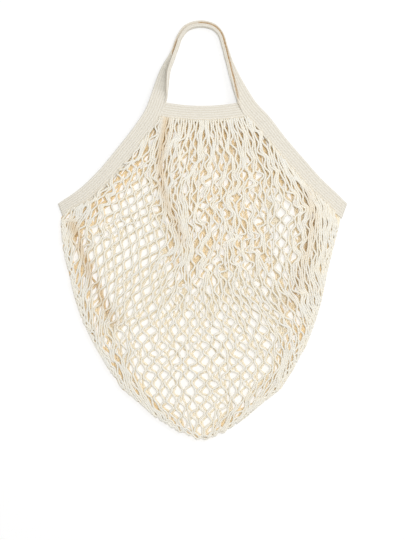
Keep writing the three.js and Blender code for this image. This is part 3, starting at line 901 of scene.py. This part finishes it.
def knit_material(name, light, deep, groove_shade_and_mottle):
    """Ribbed knit with painted shade: a side turned from the light where the mesh's shade is below 0, a
    slit's shadow above 0, and darker grooves between the ribs.
    """
    made, tree, shader = cotton(name, 0.2)
    link = tree.links.new
    uv = node(tree, "UVMap", uv_map="UVMap").outputs[0]
    # Fine loops across each rib
    loops = node(tree, "TexWave", Scale=0.32, Distortion=1.5, Detail=1.0)
    loops.bands_direction = "Y"
    loops.inputs["Detail Scale"].default_value = 2.0
    link(uv, loops.inputs["Vector"])
    height = combined(tree, "ADD", loops.outputs["Fac"], noise(tree, uv, 2.2, 4.0))
    relief(tree, height, 0.45, 0.0004, shader)
    # The knit is mottled in broad patches and stitch by stitch
    patches = noise(tree, node(tree, "TexCoord").outputs["Object"], 25.0, 4.0)
    patched = mixed(tree, ranged(tree, patches, 0.3, 0.7, last=0.35), light, deep)
    stitches = noise(tree, uv, 0.55, 2.0)
    cloth = mixed(tree, ranged(tree, stitches, 0.4, 0.7, last=0.45), patched, groove_shade_and_mottle)
    # Painted shade: grooves between the ribs are painted darker, in a dotted way where the loops cross them
    split = node(tree, "SeparateXYZ")
    link(uv, split.inputs[0])
    rib = node(tree, "Math", operation="PINGPONG")
    rib.inputs[1].default_value = BAND_WIDTH / RIBS / 2
    link(split.outputs["X"], rib.inputs[0])
    depth = ranged(tree, rib.outputs[0], 0.0, BAND_WIDTH / RIBS * 0.34, 1.0, 0.0)
    dots = ranged(tree, loops.outputs["Fac"], 0.0, 1.0, first=0.2)
    ribs = mixed(tree, combined(tree, "MULTIPLY", depth, dots), cloth, groove_shade_and_mottle)
    link(shaded(tree, ribs, AWAY_SIDE_SHADE_TINT, SLIT_SHADOW_TINT), shader.inputs["Base Color"])
    return made


FOLD_SHADE_TINT, CLOSED_SHADE_TINT = (0.67, 0.46, 0.21), (0.96, 0.75, 0.43)
SLIT_SHADOW_TINT, AWAY_SIDE_SHADE_TINT = (0.40, 0.205, 0.03), (0.43, 0.41, 0.35)
# Each yarn's top colour, and the deeper one painted on its sides and underside as shade and in random
# patches
FRONT_LIGHT, FRONT_SHADE_AND_PATCH = (0.83, 0.81, 0.745), (0.95, 0.825, 0.58)
# The back layer's yarn is a copy of the front's, painted paler to stand in for light in the gaps between
# the layers
BACK_LIGHT, BACK_SHADE_AND_PATCH = (0.88, 0.84, 0.73), (0.94, 0.84, 0.64)
KNIT_LIGHT, KNIT_DEEP, KNIT_GROOVE_SHADE_AND_MOTTLE = (0.83, 0.80, 0.73), (0.79, 0.745, 0.655), (0.66, 0.60, 0.48)
front_yarn = yarn_material("front_yarn", FRONT_LIGHT, FRONT_SHADE_AND_PATCH)
back_yarn = yarn_material("back_yarn", BACK_LIGHT, BACK_SHADE_AND_PATCH)
knit = knit_material("knit_tape", KNIT_LIGHT, KNIT_DEEP, KNIT_GROOVE_SHADE_AND_MOTTLE)

net_front = build_net("net_front_yarn", True)
net_back = build_net("net_back_yarn", False)
band_front = build_edge_band("edge_band_front_knit", front_band_underside)
band_back = build_edge_band("edge_band_back_knit", lambda x, y: np.zeros_like(x) + BAND_LIES)
mouth_front = build_mouth_band("mouth_band_front_knit", lambda x: front_underside(x, BAND_WALL))
mouth_back = build_mouth_band("mouth_band_back_knit", lambda x: np.zeros_like(x) + BAND_LIES)

STANDS_FOR = [
    (net_front, "net_front", "net_yarn", front_yarn),
    (net_back, "net_back", "net_yarn", back_yarn),
    (band_front, "edge_band_front", "knitted_band", knit),
    (band_back, "edge_band_back", "knitted_band", knit),
    (mouth_front, "mouth_band_front", "knitted_band", knit),
    (mouth_back, "mouth_band_back", "knitted_band", knit),
]
for thing, solid, place, finish in STANDS_FOR:
    thing.data.materials.append(finish)
    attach(thing, "root")
    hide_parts(solid)

# Floor, light and camera

FLOOR_SIZE = 6
FLOOR_GREY, FLOOR_GLOW = 0.46, 0.545
ROOM_LIGHT = 0.52
EYE_HEIGHT, EYE_Y = 2.0, -0.0525
VIEW_LENGTH = 0.718

bpy.ops.mesh.primitive_plane_add(size=FLOOR_SIZE, location=(0, 0, 0))
floor = bpy.context.object
floor.name = "floor"
floor_paint, floor_tree, floor_shader = material("floor_paper")
floor_shader.inputs["Base Color"].default_value = (FLOOR_GREY, FLOOR_GREY, FLOOR_GREY, 1)
floor_shader.inputs["Roughness"].default_value = 0.9
floor_shader.inputs["Specular IOR Level"].default_value = 0.1
# The paper glows a little, so that it stays white between the yarns
floor_shader.inputs["Emission Color"].default_value = (1, 1, 1, 1)
floor_shader.inputs["Emission Strength"].default_value = FLOOR_GLOW
paper = node(floor_tree, "TexNoise", Scale=400.0, Detail=3.0)
relief(floor_tree, paper.outputs[0], 0.03, 0.0005, floor_shader)
floor.data.materials.append(floor_paint)

world = bpy.data.worlds.new("studio")
bpy.context.scene.world = world
world.use_nodes = True
world.node_tree.nodes["Background"].inputs[0].default_value = (1.0, 1.0, 1.0, 1)
world.node_tree.nodes["Background"].inputs[1].default_value = ROOM_LIGHT


def area_light(name, place, size, power, colour):
    """A round lamp that shines at the bag's middle."""
    data = bpy.data.lights.new(name, "AREA")
    data.shape = "DISK"
    data.size = size
    data.energy = power
    data.color = colour
    lamp = bpy.data.objects.new(name, data)
    bpy.context.scene.collection.objects.link(lamp)
    lamp.location = place
    lamp.rotation_euler = (-Vector(place)).to_track_quat("-Z", "Y").to_euler()


area_light("key", (1.3, 1.0, 1.6), 1.3, 13, (1, 0.99, 0.975))
area_light("overhead", (0.3, 0.25, 2.5), 0.8, 27, (1, 1, 0.995))

camera_data = bpy.data.cameras.new("camera")
camera_data.sensor_width = 36
camera_data.lens = 36 * EYE_HEIGHT / VIEW_LENGTH
camera = bpy.data.objects.new("camera", camera_data)
camera.location = (0, EYE_Y, EYE_HEIGHT)
bpy.context.scene.collection.objects.link(camera)
bpy.context.scene.camera = camera
bpy.context.scene.view_settings.view_transform = "Standard"
